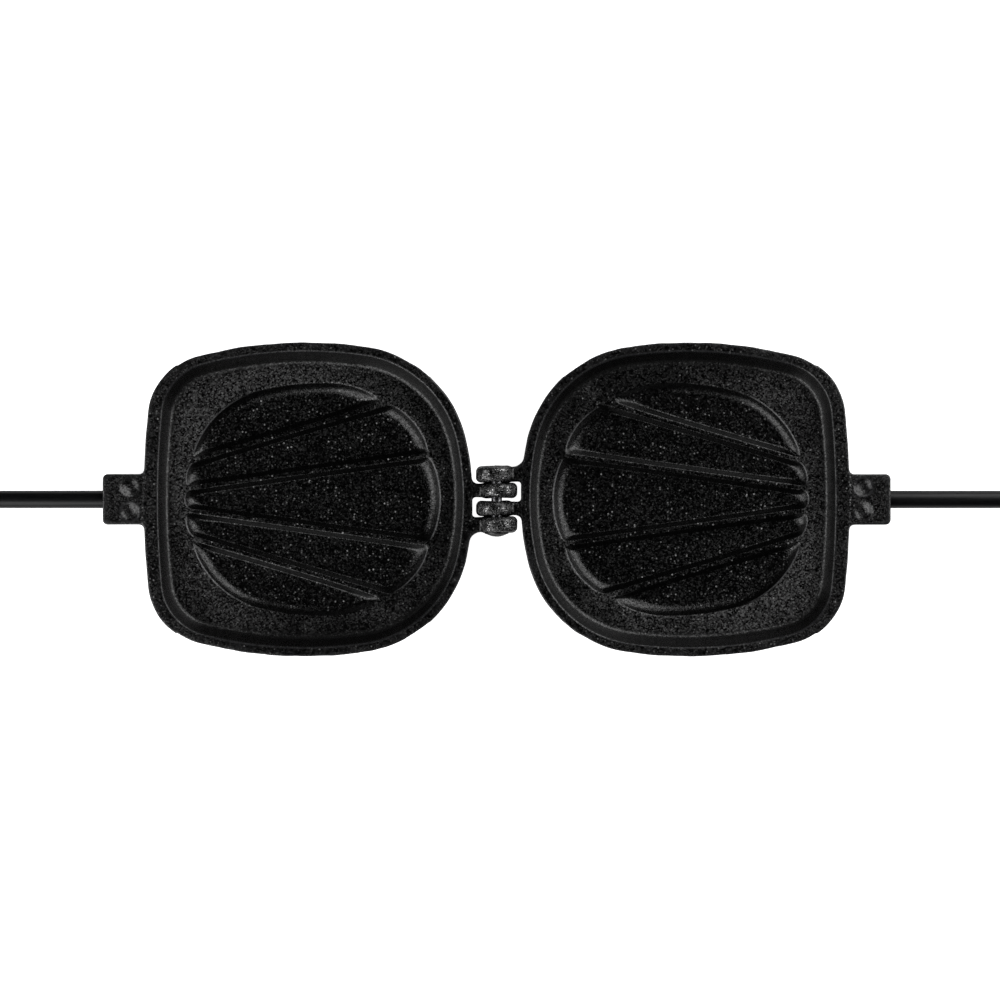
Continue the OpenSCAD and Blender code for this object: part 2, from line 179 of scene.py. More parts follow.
def common(a, b, r):
    return -joined(-a, -b, r)


# The castings

iron = {
    "height": 17.0,            # base to meeting face, mm from here on
    "cavityDepth": 10.0,
    "lobeDepth": 4.2,
    "foot": 3.0,               # how far the shell stands out below the base
    "band": 3.0,               # upright band round the rim
    "draught": 25.0,           # of the outside, degrees
    "cavityWall": (2.6, 1.8),  # how far the cavity's wall leans in at its ends, and more at its sides
    "rimRound": 0.5, "mouthRound": 0.75, "floorRound": 1.9, "baseRound": 6.0,
    # Outline of the rim, from the hinge's axis, and its radii near, long, far, near corner, far corner
    "near": 11.1, "far": 159.1, "halfWidth": 70.9, "widest": 86.2,
    "sides": (129.0, 193.0, 426.0, 54.4, 29.2),
    "rim": (4.2, 4.1, 6.1),    # width of the rim near, long, far
    # The shell's outline, the same nine numbers in a row
    "shell": (26.7, 140.9, 53.0, 77.8, 57.0, 128.0, 75.0, 49.9, 42.2),
    "ribs": ((4.9, 7.9), (16.9, 16.4)),  # from the middle line at the far end, and spread in degrees
    "crest": 1.3,              # width of a rib's top
    "crestDrop": 0.7,          # how far it lies below the floor
    "ribFlank": (1.9, 0.5),    # fall of a lobe's sides and rounding at their foot
    "endFlank": (1.7, 4.2),    # the same at its ends
    "lobeCorner": 1.1,         # plan corners of the lobes
    "lastCorner": 2.6,         # and those at the near ends of the outer ones
    "lobeBulge": 1.3,          # how far a lobe's end bows out
    "lobeBack": 0.3,           # how far its corners stay back from the shell's outline
    "lobeEdge": (0.4, 0.8),    # rounding of the lobes' upper edges, along the ribs and at the ends
    "fingers": ((-7.2, -1.0), (8.0, 14.8)),
    "fingerRound": 2.0,
    "knuckle": 7.9, "knucklePast": 1.1,  # radius, and how far its middle lies past the pin
    "flares": ((11.4, 5.0), (-4.0, 3.0), 1.8),  # fingers' roots: beyond one side, the other, between
    "neckEnd": 30.0,
    "pinHeight": 17.15, "bore": 2.48,
    "tab": (145.0, 178.0, 22.9, 14.0, 2.3),  # start, end, width, thickness, corner
    "tabRoot": 2.8,
    "bump": (165.6, 5.6, 3.9, 1.7),      # along, beside, radius, height
    "rodHeight": 10.0, "rodHole": 4.15, "holeEnd": 163.0,
    # Unevenness left by the sand, each as length, depth and seed of its waves
    "rimWaves": ((9.0, 0.22, 4), (3.5, 0.1, 5)),
    "skinWaves": (8.0, 0.05, 7),
    "hingeWaves": (3.0, 0.2, 9),
    "room": ((-10.2, -72.6, -1.2), (179.6, 72.6, 26.2)),  # box that holds the whole casting
    "step": 0.28,              # lattice the skin is taken from
    "quickStep": 0.8,
    "triangles": 185000,
    "bends": 0.055,            # share of the skin's points, the most bent, that keep all triangles
}


# Eight tangent arcs, each centre, radius, start and end angle in degrees
def egg(near, far, halfWidth, widest, nearR, longR, farR, nearCorner, farCorner):
    def corner(c1, r1, c2, r2, r):
        gap = c2 - c1
        d = np.linalg.norm(gap)
        a = ((r1 - r) ** 2 - (r2 - r) ** 2 + d * d) / (2 * d)
        h = math.sqrt((r1 - r) ** 2 - a * a)
        side = np.array([-gap[1], gap[0]]) / d
        return max(c1 + a * gap / d + h * side, c1 + a * gap / d - h * side, key=lambda p: p[1])

    def heading(v):
        return math.degrees(math.atan2(v[1], v[0])) % 360

    n = np.array([near + nearR, 0.0])
    l = np.array([widest, halfWidth - longR])
    f = np.array([far - farR, 0.0])
    nc = corner(n, nearR, l, longR, nearCorner)
    fc = corner(f, farR, l, longR, farCorner)
    t1, t2, t3, t4 = heading(fc - f), heading(fc - l), heading(nc - l), heading(nc - n)
    upper = [(fc, farCorner, t1, t2), (l, longR, t2, t3), (nc, nearCorner, t3, t4)]
    lower = [(c * (1, -1), r, 360 - b, 360 - a) for c, r, a, b in upper]
    return [(f, farR, -t1, t1), (n, nearR, t4, 360 - t4)] + upper + lower


# Distance from an outline, positive inside it
def insetOf(arcs, x, y):
    deepest = 90.0  # more than any place inside these outlines reaches
    inset = np.full(np.broadcast(x, y).shape, deepest, dtype=np.float32)
    for c, r, a, b in arcs:
        turn = (np.degrees(np.arctan2(y - c[1], x - c[0])) - a) % 360
        here = turn <= b - a
        inset = np.where(here, np.minimum(inset, r - np.hypot(x - c[0], y - c[1])), inset)
    return inset


# Smooth random waves of a given length, depth and seed
def waves(shape, step, length, depth, seed):
    random = np.random.default_rng(seed)
    coarse = [int(n * step / length) + 3 for n in shape]
    field = random.uniform(-1, 1, coarse).astype(np.float32)
    for axis, n in enumerate(shape):
        at = np.arange(n) * step / length
        low = at.astype(int)
        t = at - low
        t = (t * t * (3 - 2 * t)).astype(np.float32)
        form = [1, 1, 1]
        form[axis] = n
        t = t.reshape(form)
        field = np.take(field, low, axis) * (1 - t) + np.take(field, low + 1, axis) * t
    return field * depth


# How deep the shell's lobes go below the cavity floor, at each place in plan
def lobeDepths(x, y):
    shell = insetOf(egg(*iron["shell"]), x, y)
    shellFar = iron["shell"][1]
    lines = []
    for offset, slope in iron["ribs"]:
        t = math.tan(math.radians(slope))
        lines.append((offset + (shellFar - x) * t, math.cos(math.radians(slope))))
    depth = None
    beside = np.abs(y)
    for lobe in range(3):
        toHigh = (lines[lobe][0] - beside) * lines[lobe][1] if lobe < 2 else None
        toLow = (beside - lines[lobe - 1][0]) * lines[lobe - 1][1] if lobe else None
        if lobe == 0:
            toLow = (beside + lines[0][0]) * lines[0][1]
        rib = toLow if toHigh is None else np.minimum(toLow, toHigh)
        rib = rib - iron["crest"] / 2
        bow = 0
        if toHigh is not None:
            across = np.clip((toLow - toHigh) / (toLow + toHigh + 0.01), -1, 1)
            bow = iron["lobeBulge"] * (1 - across ** 2) - iron["lobeBack"]
        end = shell + bow
        corner = iron["lobeCorner"]
        if lobe == 2:
            corner = corner + (iron["lastCorner"] - corner) * np.clip((90 - x) / 30, 0, 1)
        within = end + rib - np.sqrt(end * end + rib * rib + corner * corner)
        fromEnd, fromRib = np.maximum(end, 0) ** 2, np.maximum(rib, 0) ** 2
        atEnd = fromRib / (fromEnd + fromRib + 0.3)
        (ribSlope, ribFoot), (endSlope, endFoot) = iron["ribFlank"], iron["endFlank"]
        fall = within * (ribSlope + (endSlope - ribSlope) * atEnd)
        foot = ribFoot + (endFoot - ribFoot) * atEnd
        short = np.maximum(foot - np.abs(fall - iron["lobeDepth"]), 0)
        fall = np.minimum(fall, iron["lobeDepth"]) - short * short / (4 * foot)
        depth = fall if depth is None else np.maximum(depth, fall)
    drop = np.clip(shell / 9, 0, 1)
    drop = iron["crestDrop"] * drop * drop * (3 - 2 * drop)
    above = depth - drop
    sharp, blunt = iron["lobeEdge"]
    edge = blunt + (sharp - blunt) * np.clip(shell / 4, 0, 1)
    return drop + (above + np.sqrt(above * above + edge * edge)) / 2


def castingField(step):
    top = iron["height"]
    floor = top - iron["cavityDepth"]
    base = iron["foot"]
    lowest, highest = (np.array(end) for end in iron["room"])
    shape = np.ceil((highest - lowest) / step).astype(int)
    axes = [lowest[k] + np.arange(shape[k]) * step for k in range(3)]
    x = axes[0][:, None].astype(np.float32)
    y = axes[1][None, :].astype(np.float32)
    z = axes[2][None, None, :].astype(np.float32)
    lean = math.radians(iron["draught"])
    rimArcs = egg(iron["near"], iron["far"], iron["halfWidth"], iron["widest"], *iron["sides"])
    nearRim, longRim, farRim = iron["rim"]
    nearR, longR, farR, nearCorner, farCorner = iron["sides"]
    mouthArcs = egg(iron["near"] + nearRim, iron["far"] - farRim, iron["halfWidth"] - longRim,
                    iron["widest"], nearR - nearRim, longR - longRim, farR - farRim,
                    nearCorner - nearRim, farCorner - longRim)
    rim = insetOf(rimArcs, x, y)
    mouth = insetOf(mouthArcs, x, y)[:, :, None]
    shell = insetOf(egg(*iron["shell"]), x, y)[:, :, None]
    wobble = sum(waves((shape[0], shape[1], 1), step, *kind) for kind in iron["rimWaves"])
    rimSide = rim[:, :, None] + wobble

    # Outside of the dish: upright band, draughted wall, base and shell-shaped foot
    wall = (top - iron["band"] - z) * math.sin(lean) - rimSide * math.cos(lean)
    field = common(-rimSide, wall, 0.8)
    field = common(field, base - z, iron["baseRound"])
    foot = common((base / 2 - z) * 0.6 - shell * 0.8, -z, 1.0)  # its sides lean by 37 degrees
    foot = common(foot, z - base - 2, 0.5)
    field = joined(field, foot, 1.6)

    # Neck and fingers of the hinge, with flared roots
    plan = None
    knuckle = np.hypot(x + iron["knucklePast"], z[0] - iron["pinHeight"]) - iron["knuckle"]
    for low, high in iron["fingers"]:
        side = np.maximum(low - y, y - high)
        reach = np.maximum(-x, x - iron["neckEnd"])
        arm = np.maximum(side, reach)
        plan = arm if plan is None else np.minimum(plan, arm)
    (beyond, most), (before, more), least = iron["flares"]
    flare = np.where(y > beyond, most, np.where(y < before, more, least)).astype(np.float32)
    plan = joined(-rim, plan, flare)
    plan = np.maximum(plan, x - iron["neckEnd"])
    neckLow = iron["pinHeight"] - iron["knuckle"]
    neckMiddle = (top + neckLow) / 2
    neck = common(plan[:, :, None], np.abs(z - neckMiddle) - (top - neckLow) / 2, iron["fingerRound"])
    field = joined(field, neck, 1.0)
    fingers = None
    for low, high in iron["fingers"]:
        side = (np.abs(y - (low + high) / 2) - (high - low) / 2)[:, :, None]
        finger = common(knuckle[:, None, :], side, iron["fingerRound"])
        fingers = finger if fingers is None else np.minimum(fingers, finger)
    field = joined(field, fingers, 1.5)

    # Tab that the rod screws into
    tabStart, tabEnd, tabWidth, tabThick, tabCorner = iron["tab"]
    tabReach = np.maximum(x - tabEnd, tabStart - 5 - x)
    tab = common(tabReach + 0 * y, np.abs(y) - tabWidth / 2 + 0 * x, tabCorner)
    tab = joined(-rim, tab, iron["tabRoot"])
    tab = np.maximum(tab, tabStart - x)
    slab = common(tab[:, :, None], np.abs(z - top + tabThick / 2) - tabThick / 2, 0.9)
    field = joined(field, slab, 1.2)

    # Meeting face, cavity and lobes
    along, beside, r, h = iron["bump"]
    ball = (r * r + h * h) / (2 * h)
    ballField = np.sqrt((x[:, :, None] - along) ** 2 + (y[:, :, None] + beside) ** 2
                        + (z - top - h + ball) ** 2) - ball
    field = common(field, z - top, iron["rimRound"])
    field = joined(field, fingers, 1.2)
    field = joined(field, ballField, 0.9)
    depth = lobeDepths(x, y)[:, :, None]
    atEnds, more = iron["cavityWall"]
    slope = np.arctan((atEnds + more * (y / iron["halfWidth"]) ** 2) / iron["cavityDepth"])[:, :, None]
    cavity = common((top - z) * np.sin(slope) - mouth * np.cos(slope), floor - depth - z,
                    iron["floorRound"])
    field = common(field, -cavity, iron["mouthRound"])
    dimple = np.sqrt((x[:, :, None] - along) ** 2 + (y[:, :, None] - beside) ** 2
                     + (z - top + h - 0.3 - ball) ** 2) - ball - 0.4
    field = common(field, -dimple, 0.5)

    # Bores for the pin and the rod
    bore = np.hypot(x, z[0] - iron["pinHeight"]) - iron["bore"]
    field = common(field, -bore[:, None, :], 0.3)
    hole = np.hypot(y.T, z[0] - iron["rodHeight"]) - iron["rodHole"]
    hole = np.maximum(hole[None], (iron["holeEnd"] - x)[:, :, None])
    field = common(field, -hole, 0.5)
    field += waves(shape, step, *iron["skinWaves"])
    hinge = np.clip((9 - x) / 3, 0, 1)[:, :, None]
    field += waves(shape, step, *iron["hingeWaves"]) * hinge
    return field.astype(np.float32), lowest


def softened(field, reach):
    for axis in range(3):
        total = field.copy()
        for shift in range(1, reach + 1):
            total += np.roll(field, shift, axis) + np.roll(field, -shift, axis)
        field = total / (2 * reach + 1)
    return field


def sampled(field, at):
    low = np.clip(np.floor(at).astype(int), 0, np.array(field.shape) - 2)
    t = at - low
    value = 0
    for a in np.ndindex(2, 2, 2):
        weight = np.prod([t[:, k] if a[k] else 1 - t[:, k] for k in range(3)], axis=0)
        value = value + weight * field[tuple((low + a).T)]
    return value


# The same surface with fewer triangles, all of them taken from the places that aren't kept
def thinnedTo(mesh, triangles, kept=None):
    share = triangles / (2 * len(mesh.polygons))
    if share >= 1:
        return mesh
    piece = bpy.data.objects.new("thinning", mesh)
    bpy.context.scene.collection.objects.link(piece)
    thin = piece.modifiers.new("thin", "DECIMATE")
    thin.ratio = share
    if kept is not None:
        piece.vertex_groups.new(name="plain").add(np.flatnonzero(~kept).tolist(), 1.0, "REPLACE")
        thin.vertex_group = "plain"
    thinned = bpy.data.meshes.new_from_object(
        piece.evaluated_get(bpy.context.evaluated_depsgraph_get()))
    bpy.data.objects.remove(piece)
    return thinned


def castingMesh():
    step = iron["step"]
    field, lowest = castingField(step)
    print("casting field", field.shape)
    points, faces = skinOf(field, lowest, step)
    print("casting skin", len(points), "points")
    # Curvature of the skin, for worn edges, for painted highlights in hollows and on edges, and to keep
    # the bends' triangles
    blurred = softened(field, max(1, round(0.45 / step)))
    bent = np.abs(sampled(blurred, (points - lowest) / step))
    kept = bent > np.quantile(bent, 1 - iron["bends"])
    thinned = thinnedTo(meshFrom("castingSkin", points * mm, faces), iron["triangles"], kept)
    spots = np.empty(len(thinned.vertices) * 3)
    thinned.vertices.foreach_get("co", spots)
    spots = spots.reshape(-1, 3) / mm
    swell = sampled(blurred, (spots - lowest) / step)
    thinned.attributes.new("swell", "FLOAT", "POINT").data.foreach_set(
        "value", swell.astype(np.float32))
    print("casting mesh", len(thinned.polygons), "faces")
    return thinned


def turnedRound(mesh):
    copy = mesh.copy()
    spots = np.empty(len(copy.vertices) * 3)
    copy.vertices.foreach_get("co", spots)
    spots = spots.reshape(-1, 3) * (-1, -1, 1)
    copy.vertices.foreach_set("co", spots.ravel())
    copy.update()
    return copy


# Handles, latch and pin

hardware = {
    "rodHeight": 10.0, "rodRadius": 4.0, "rodStart": 163.0, "shoulder": 565.0, "spigotRadius": 3.0,
    "rodEnd": 706.0,
    "washer": (6.5, 1.2),      # radius and thickness
    "gripStart": 566.2, "gripEnd": 696.2, "gripRadii": (14.2, 17.0, 14.6), "gripSwell": 39.0,
    "gripRound": 2.0, "sawnRound": 0.9, "sawnAt": 16.6,
    "endWasher": 696.2, "sleeve": (697.4, 700.0, 4.0),
    "nut": (700.0, 5.0, 10.0, 4.7, 1.5),             # start, height, width, dome radius and rise
    "plate": (-699.7, -697.7, 6.5, 8.7, 14.3, 4.3),  # back, front, eye, hook, pitch, slot
    "pinRadius": 2.4, "pinEnd": 14.8, "headRadius": 5.4, "lip": 0.95, "dome": 1.25,
    "pinRoom": ((-5.5, -17.0, 11.6), (5.5, 14.8, 22.7)),  # box that holds the pin
    # Lattice step of each mesh, and the most triangles that it keeps
    "lattice": {"ring": (0.16, 12000), "grip": (0.45, 50000), "nut": (0.18, 20000),
                "plate": (0.2, 24000), "pin": (0.16, 30000)},
}


# Mesh of the form inside a box, its field worked out on that kind's lattice
def formMesh(kind, form, lowest, highest):
    step, triangles = hardware["lattice"][kind]
    lowest = np.array(lowest) - 2 * step
    shape = np.ceil((np.array(highest) + 2 * step - lowest) / step).astype(int) + 1
    x, y, z = (lowest[k] + np.arange(shape[k]) * step for k in range(3))
    field = form(x[:, None, None], y[None, :, None], z[None, None, :])
    points, faces = skinOf(np.broadcast_to(field, shape), lowest, step)
    return thinnedTo(meshFrom(kind, points * mm, faces), triangles)


def fromRod(y, z):
    return np.hypot(y, z - hardware["rodHeight"])


# Drawn bar with a shoulder and a spigot for the grip
def rodMesh():
    r, spigot = hardware["rodRadius"], hardware["spigotRadius"]
    start, shoulder, end = hardware["rodStart"], hardware["shoulder"], hardware["rodEnd"]
    profile = [(start, r - 0.5), (start + 0.15, r - 0.2), (start + 0.5, r)]
    profile += [(x, r) for x in np.linspace(start + 15, shoulder - 15, 24)]
    profile += [(shoulder - 0.5, r), (shoulder - 0.15, r - 0.2), (shoulder, r - 0.5),
                (shoulder, spigot), (end - 0.4, spigot), (end, spigot - 0.4)]
    sides = 72
    turn = np.arange(sides) * 2 * math.pi / sides
    points = [(x * mm, radius * math.cos(t) * mm, (radius * math.sin(t) + hardware["rodHeight"]) * mm)
              for x, radius in profile for t in turn]
    faces = [(i * sides + k, i * sides + (k + 1) % sides, (i + 1) * sides + (k + 1) % sides,
              (i + 1) * sides + k) for i in range(len(profile) - 1) for k in range(sides)]
    faces += [tuple(reversed(range(sides))), tuple(range((len(profile) - 1) * sides, len(points)))]
    mesh = bpy.data.meshes.new("rod")
    mesh.from_pydata(points, [], [face[::-1] for face in faces])
    mesh.polygons.foreach_set("use_smooth", [len(face) == 4 for face in faces])
    return mesh


# Half of a grip that was turned whole and sawn along its middle
def gripForm(x, y, z):
    front, belly, back = hardware["gripRadii"]
    start, end, swell = hardware["gripStart"], hardware["gripEnd"], hardware["gripSwell"]

    def ease(t):
        return (1 - np.cos(np.pi * np.clip(t, 0, 1))) / 2

    radius = np.where(x < (start + end) / 2, front + (belly - front) * ease((x - start) / swell),
                      back + (belly - back) * ease((end - x) / swell))
    around = np.hypot(y, z - iron["height"]) - radius
    along = np.abs(x - (start + end) / 2) - (end - start) / 2
    field = common(around, along, hardware["gripRound"])
    field = common(field, z - hardware["sawnAt"], hardware["sawnRound"])
    return common(field, hardware["spigotRadius"] + 0.05 - fromRod(y, z), 0.5)


# Stamped ring: flat faces and edges rounded by the die
def ring(start, end, outer, inner, edge):
    def form(x, y, z):
        flat = np.abs(x - (start + end) / 2) - (end - start) / 2
        away = fromRod(y, z)
        return common(common(flat, away - outer, edge), inner - away, edge * 0.7)
    return form


# Cap nut: a hexagon with turned corners, and a dome
def nutForm(x, y, z):
    start, height, width, domeRadius, rise = hardware["nut"]
    up = z - hardware["rodHeight"]
    away = np.hypot(y, up)
    hexagon = np.maximum(np.abs(y), np.abs(y / 2) + np.abs(up) * 0.866) - width / 2
    end = np.abs(x - start - height / 2) - height / 2
    corner = (away - width * 0.49 + end * 1.73) / 2
    body = common(common(hexagon, corner, 0.15), end, 0.2)
    past = np.maximum(x - start - height - rise, 0)
    dome = np.maximum(np.hypot(away, past) - domeRadius, start - x)
    return joined(body, dome, 0.6)


# Latch plate: an eye on the left rod, and a hook with a slot cut on the eye's circle
def plateForm(x, y, z):
    back, front, eye, hook, pitch, slot = hardware["plate"]
    up = z - hardware["rodHeight"]
    taper = (eye - hook) / pitch
    straight = math.sqrt(1 - taper * taper)
    side = np.abs(up)
    place = straight * y - taper * side
    outline = np.where(place < 0, np.hypot(y, up) - eye,
                       np.where(place > straight * pitch, np.hypot(y - pitch, up) - hook,
                                straight * side + taper * y - eye))
    swing = np.maximum(np.abs(np.hypot(y, up) - pitch) - slot, -up)
    seat = np.minimum(np.hypot(y - pitch, up) - slot, swing)
    plate = common(outline, np.abs(x - (back + front) / 2) - (front - back) / 2, 0.4)
    plate = common(plate, hardware["spigotRadius"] + 0.05 - np.hypot(y, up), 0.3)
    return common(plate, -seat, 0.3)


# Pin: a shank, and a pressed head with a lip under its dome
def pinForm(x, y, z):
    away = np.hypot(x, z - iron["pinHeight"])
    end, lip, rise = hardware["pinEnd"], hardware["lip"], hardware["dome"]
    shank = common(away - hardware["pinRadius"], np.abs(y) - end, 0.4)
    under = -end + 0.15
    rim = common(away - hardware["headRadius"], np.abs(y - under + lip / 2) - lip / 2, 0.35)
    base = hardware["headRadius"] - 0.75
    ball = (base * base + rise * rise) / (2 * rise)
    dome = np.hypot(away, y - (under - lip - rise + ball)) - ball
    dome = np.maximum(dome, y - under + lip / 2)
    return joined(joined(shank, rim, 0.2), dome, 0.15)


ironFinish = {
    # Sizes in mm; real moulding sand is about half as coarse, too fine to show
    "grains": 0.6, "unevenness": 0.65, "relief": 0.15,
    "fleckSpacing": 1.7, "fleckPatches": 14.0, "wornPatches": 20.0,
    "rubs": 1.3, "knuckleRubs": 2.6,
    # Brightest grains, where the oil is thick, and where it has worn thin or light is painted on
    "floor": ("#212121", "#505050"),
    "rim": ("#161616", "#2c2c2c"),
    "lobes": ("#1a1a1a", "#282828"),
    "walls": ("#030303", "#080808"),  # in the lobes, and above them
    "fleck": "#a0a0a0",
    # painted highlight on the lobes' ends
    "wornEdge": "#242425",
    "paintedEndHighlight": "#525253",
    # painted highlight in the hollows
    "paintedHollowHighlight": "#1a1a1a",
    # painted highlight along the fingers' roots
    "rootHighlight": "#8c8c8c",
    "bareIron": "#a4a4a4",
    "sooty": "#707070",               # gloss of the driest grains
}


# Grey iron, sand cast and seasoned with oil: near black and half gloss, grainy from the sand on its
# flats, smoother on its walls, and rubbed to grey metal on its knuckles
def castIron():
    material, tree = newMaterial("seasonedCastIron")
    coords = addNode(tree, "ShaderNodeTexCoord")
    place = coords.outputs["Object"]
    spots = addNode(tree, "ShaderNodeSeparateXYZ", {0: place})
    height = spots.outputs["Z"]
    facing = addNode(tree, "ShaderNodeSeparateXYZ", {0: coords.outputs["Normal"]})
    level = addNode(tree, "ShaderNodeMath", {0: facing.outputs["Z"]}, operation="ABSOLUTE").outputs[0]
    aside = addNode(tree, "ShaderNodeMath", {0: facing.outputs["X"]}, operation="ABSOLUTE").outputs[0]
    flat = fit(tree, level, 0.68, 0.9)
    # The lobes, below the cavity floor, came out of the mould smoother than the rest
    shallow = fit(tree, height, 6.35 * mm, 6.9 * mm)
    rim = fit(tree, height, 14 * mm, 15 * mm)
    swell = addNode(tree, "ShaderNodeAttribute", attribute_name="swell").outputs["Fac"]
    edge = fit(tree, swell, 0.03, 0.08)
    paintedHollowHighlight = fit(tree, swell, -0.012, -0.05)
    # Sand grains, each its own grey, on a fine unevenness
    sand = addNode(tree, "ShaderNodeTexVoronoi", {"Vector": place},
                   {"Scale": 1 / (ironFinish["grains"] * mm)})
    grey = addNode(tree, "ShaderNodeSeparateColor", {0: sand.outputs["Color"]}).outputs[0]
    speck = times(tree, grey, grey)
    spark = times(tree, speck, speck)
    fine = grain(tree, place, ironFinish["unevenness"], 2.0, 0.6).outputs["Fac"]
    # Grains lighter in broad random patches and towards the far end, and lighter towards one corner of
    # each half as painted light
    away = addNode(tree, "ShaderNodeMath", {0: spots.outputs["X"]}, operation="ABSOLUTE").outputs[0]
    far = fit(tree, away, 20 * mm, 150 * mm)
    # Painted light: one corner of each half is made lighter
    corner = fit(tree, times(tree, spots.outputs["X"], spots.outputs["Y"]), 0.004, -0.006)
    broad = fit(tree, grain(tree, place, ironFinish["wornPatches"]).outputs["Fac"], 0.35, 0.65)
    wearAndPaintedLight = addNode(tree, "ShaderNodeMath", {0: far, 1: corner}, operation="ADD").outputs[0]
    wearAndPaintedLight = addNode(tree, "ShaderNodeMath", {0: wearAndPaintedLight, 1: broad}, operation="ADD").outputs[0]
    wearAndPaintedLight = fit(tree, wearAndPaintedLight, 0.6, 2.3)
    # Bright flecks where the seasoning has flaked, about 0.6 mm across, some places more than others
    cells = addNode(tree, "ShaderNodeTexVoronoi", {"Vector": place},
                    {"Scale": 1 / (ironFinish["fleckSpacing"] * mm)})
    chosen = addNode(tree, "ShaderNodeSeparateColor", {0: cells.outputs["Color"]}).outputs[0]
    patch = fit(tree, grain(tree, place, ironFinish["fleckPatches"]).outputs["Fac"],
                0.35, 0.65, 0.15, 1.0)
    fleck = times(tree, fit(tree, cells.outputs["Distance"], 0.3, 0.08),
                  times(tree, fit(tree, chosen, 0.45, 1.0), patch))
    fleck = times(tree, fleck, fit(tree, shallow, 0, 1, 1, 0.6))
    rubs = grain(tree, place, ironFinish["rubs"], 3.0, 0.6).outputs["Fac"]
    rubbed = fit(tree, rubs, 0.35, 0.6, 0.35, 1.0)
    bright = {part: mixColour(tree, wearAndPaintedLight, *map(srgb, ironFinish[part]))
              for part in ("floor", "rim", "lobes")}
    floorTone = mixColour(tree, speck, srgb("#000000"), bright["floor"])
    rimTone = mixColour(tree, speck, srgb("#000000"), bright["rim"])
    lobeTone = mixColour(tree, spark, srgb("#010101"), bright["lobes"])
    tone = mixColour(tree, shallow, lobeTone, mixColour(tree, rim, floorTone, rimTone))
    tone = mixColour(tree, fleck, tone, srgb(ironFinish["fleck"]))
    tone = mixColour(tree, flat, mixColour(tree, shallow, *map(srgb, ironFinish["walls"])), tone)
    wornEdge = times(tree, edge, rubbed)
    tone = mixColour(tree, times(tree, wornEdge, rim), tone, srgb(ironFinish["wornEdge"]))
    # Painted highlight: the worn edges at the lobes' blunt ends, which face along the iron, are painted
    # lighter than those of the ribs
    endHighlightMask = times(tree, fit(tree, aside, 0.25, 0.5), fit(tree, height, 7.5 * mm, 7 * mm))
    tone = mixColour(tree, times(tree, wornEdge, endHighlightMask), tone, srgb(ironFinish["paintedEndHighlight"]))
    # Painted highlight in the concave feet and fillets above the lobes
    tone = mixColour(tree, times(tree, times(tree, paintedHollowHighlight, rubbed), shallow), tone,
                     srgb(ironFinish["paintedHollowHighlight"]))
    # Painted highlight: a bright line along the fingers' concave roots
    paintedRootLine = times(tree, fit(tree, swell, -0.03, -0.07), fit(tree, height, 16.8 * mm, 17.1 * mm))
    paintedRootLine = times(tree, paintedRootLine, fit(tree, away, 12 * mm, 10 * mm))
    tone = mixColour(tree, times(tree, paintedRootLine, rubbed), tone, srgb(ironFinish["rootHighlight"]))
    # The knuckles are rubbed to dull metal where they knock together
    knuckleRubs = grain(tree, place, ironFinish["knuckleRubs"], 3.0, 0.6).outputs["Fac"]
    knuckle = times(tree, fit(tree, height, 18.9 * mm, 20 * mm), fit(tree, knuckleRubs, 0.42, 0.58))
    bare = times(tree, knuckle, fit(tree, fine, 0.53, 0.66))
    tone = mixColour(tree, bare, tone, srgb(ironFinish["bareIron"]))
    # Oil lies smooth between the grains; the walls are satin, rough in spots
    wallRough = fit(tree, fine, 0.35, 0.65, 0.15, 0.34)
    flatRough = fit(tree, speck, 0, 1, 0.18, 0.3)
    rough = addNode(tree, "ShaderNodeMix", {0: flat, 2: wallRough, 3: flatRough}).outputs[0]
    sandy = fit(tree, flat, 0, 1, 0.4, 1.0)
    # Dry grains of soot take some of the gloss away, so highlights look grainy
    shine = mixColour(tree, grey, srgb(ironFinish["sooty"]), srgb("#ffffff"))
    relief = addNode(tree, "ShaderNodeMath", {0: fine}, {1: 0.5}, operation="SUBTRACT").outputs[0]
    bump = addNode(tree, "ShaderNodeBump", {"Height": times(tree, relief, sandy)},
                   {"Strength": 1.0, "Distance": ironFinish["relief"] * mm})
    finishMaterial(tree, {"Base Color": tone, "Roughness": rough, "Normal": bump.outputs[0],
                          "Metallic": bare, "Specular Tint": shine}, {"IOR": 1.5})
    return material


coatingFinish = {
    "lines": 0.5,      # mm, coarser than real draw marks, so that they show
    "dust": 1.2,
    "tones": ("#020203", "#080809"),
    "specular": 0.22,  # under half of the usual 0.5, because the coating is dull
}


# Drawn steel bar with a baked black coating: even satin, with faint lines along it
def blackRod():
    material, tree = newMaterial("blackCoatedSteel")
    place = addNode(tree, "ShaderNodeTexCoord").outputs["Object"]
    drawn = addNode(tree, "ShaderNodeMapping", {"Vector": place}, {"Scale": (0.02, 1, 1)}).outputs[0]
    lines = grain(tree, drawn, coatingFinish["lines"], 2.0).outputs["Fac"]
    dust = grain(tree, place, coatingFinish["dust"], 3.0).outputs["Fac"]
    tone = mixColour(tree, fit(tree, dust, 0.4, 0.7), *map(srgb, coatingFinish["tones"]))
    rough = fit(tree, lines, 0.3, 0.7, 0.3, 0.4)
    bump = addNode(tree, "ShaderNodeBump", {"Height": lines}, {"Strength": 0.15, "Distance": 0.05 * mm})
    finishMaterial(tree, {"Base Color": tone, "Roughness": rough, "Normal": bump.outputs[0]},
                   {"IOR": 1.5, "Specular IOR Level": coatingFinish["specular"]})
    return material


pinFinish = {
    "spots": 1.2,     # mm
    "shank": ("#303032", "#7c7c7e"),
    "head": ("#030303", "#0c0c0c"),
}


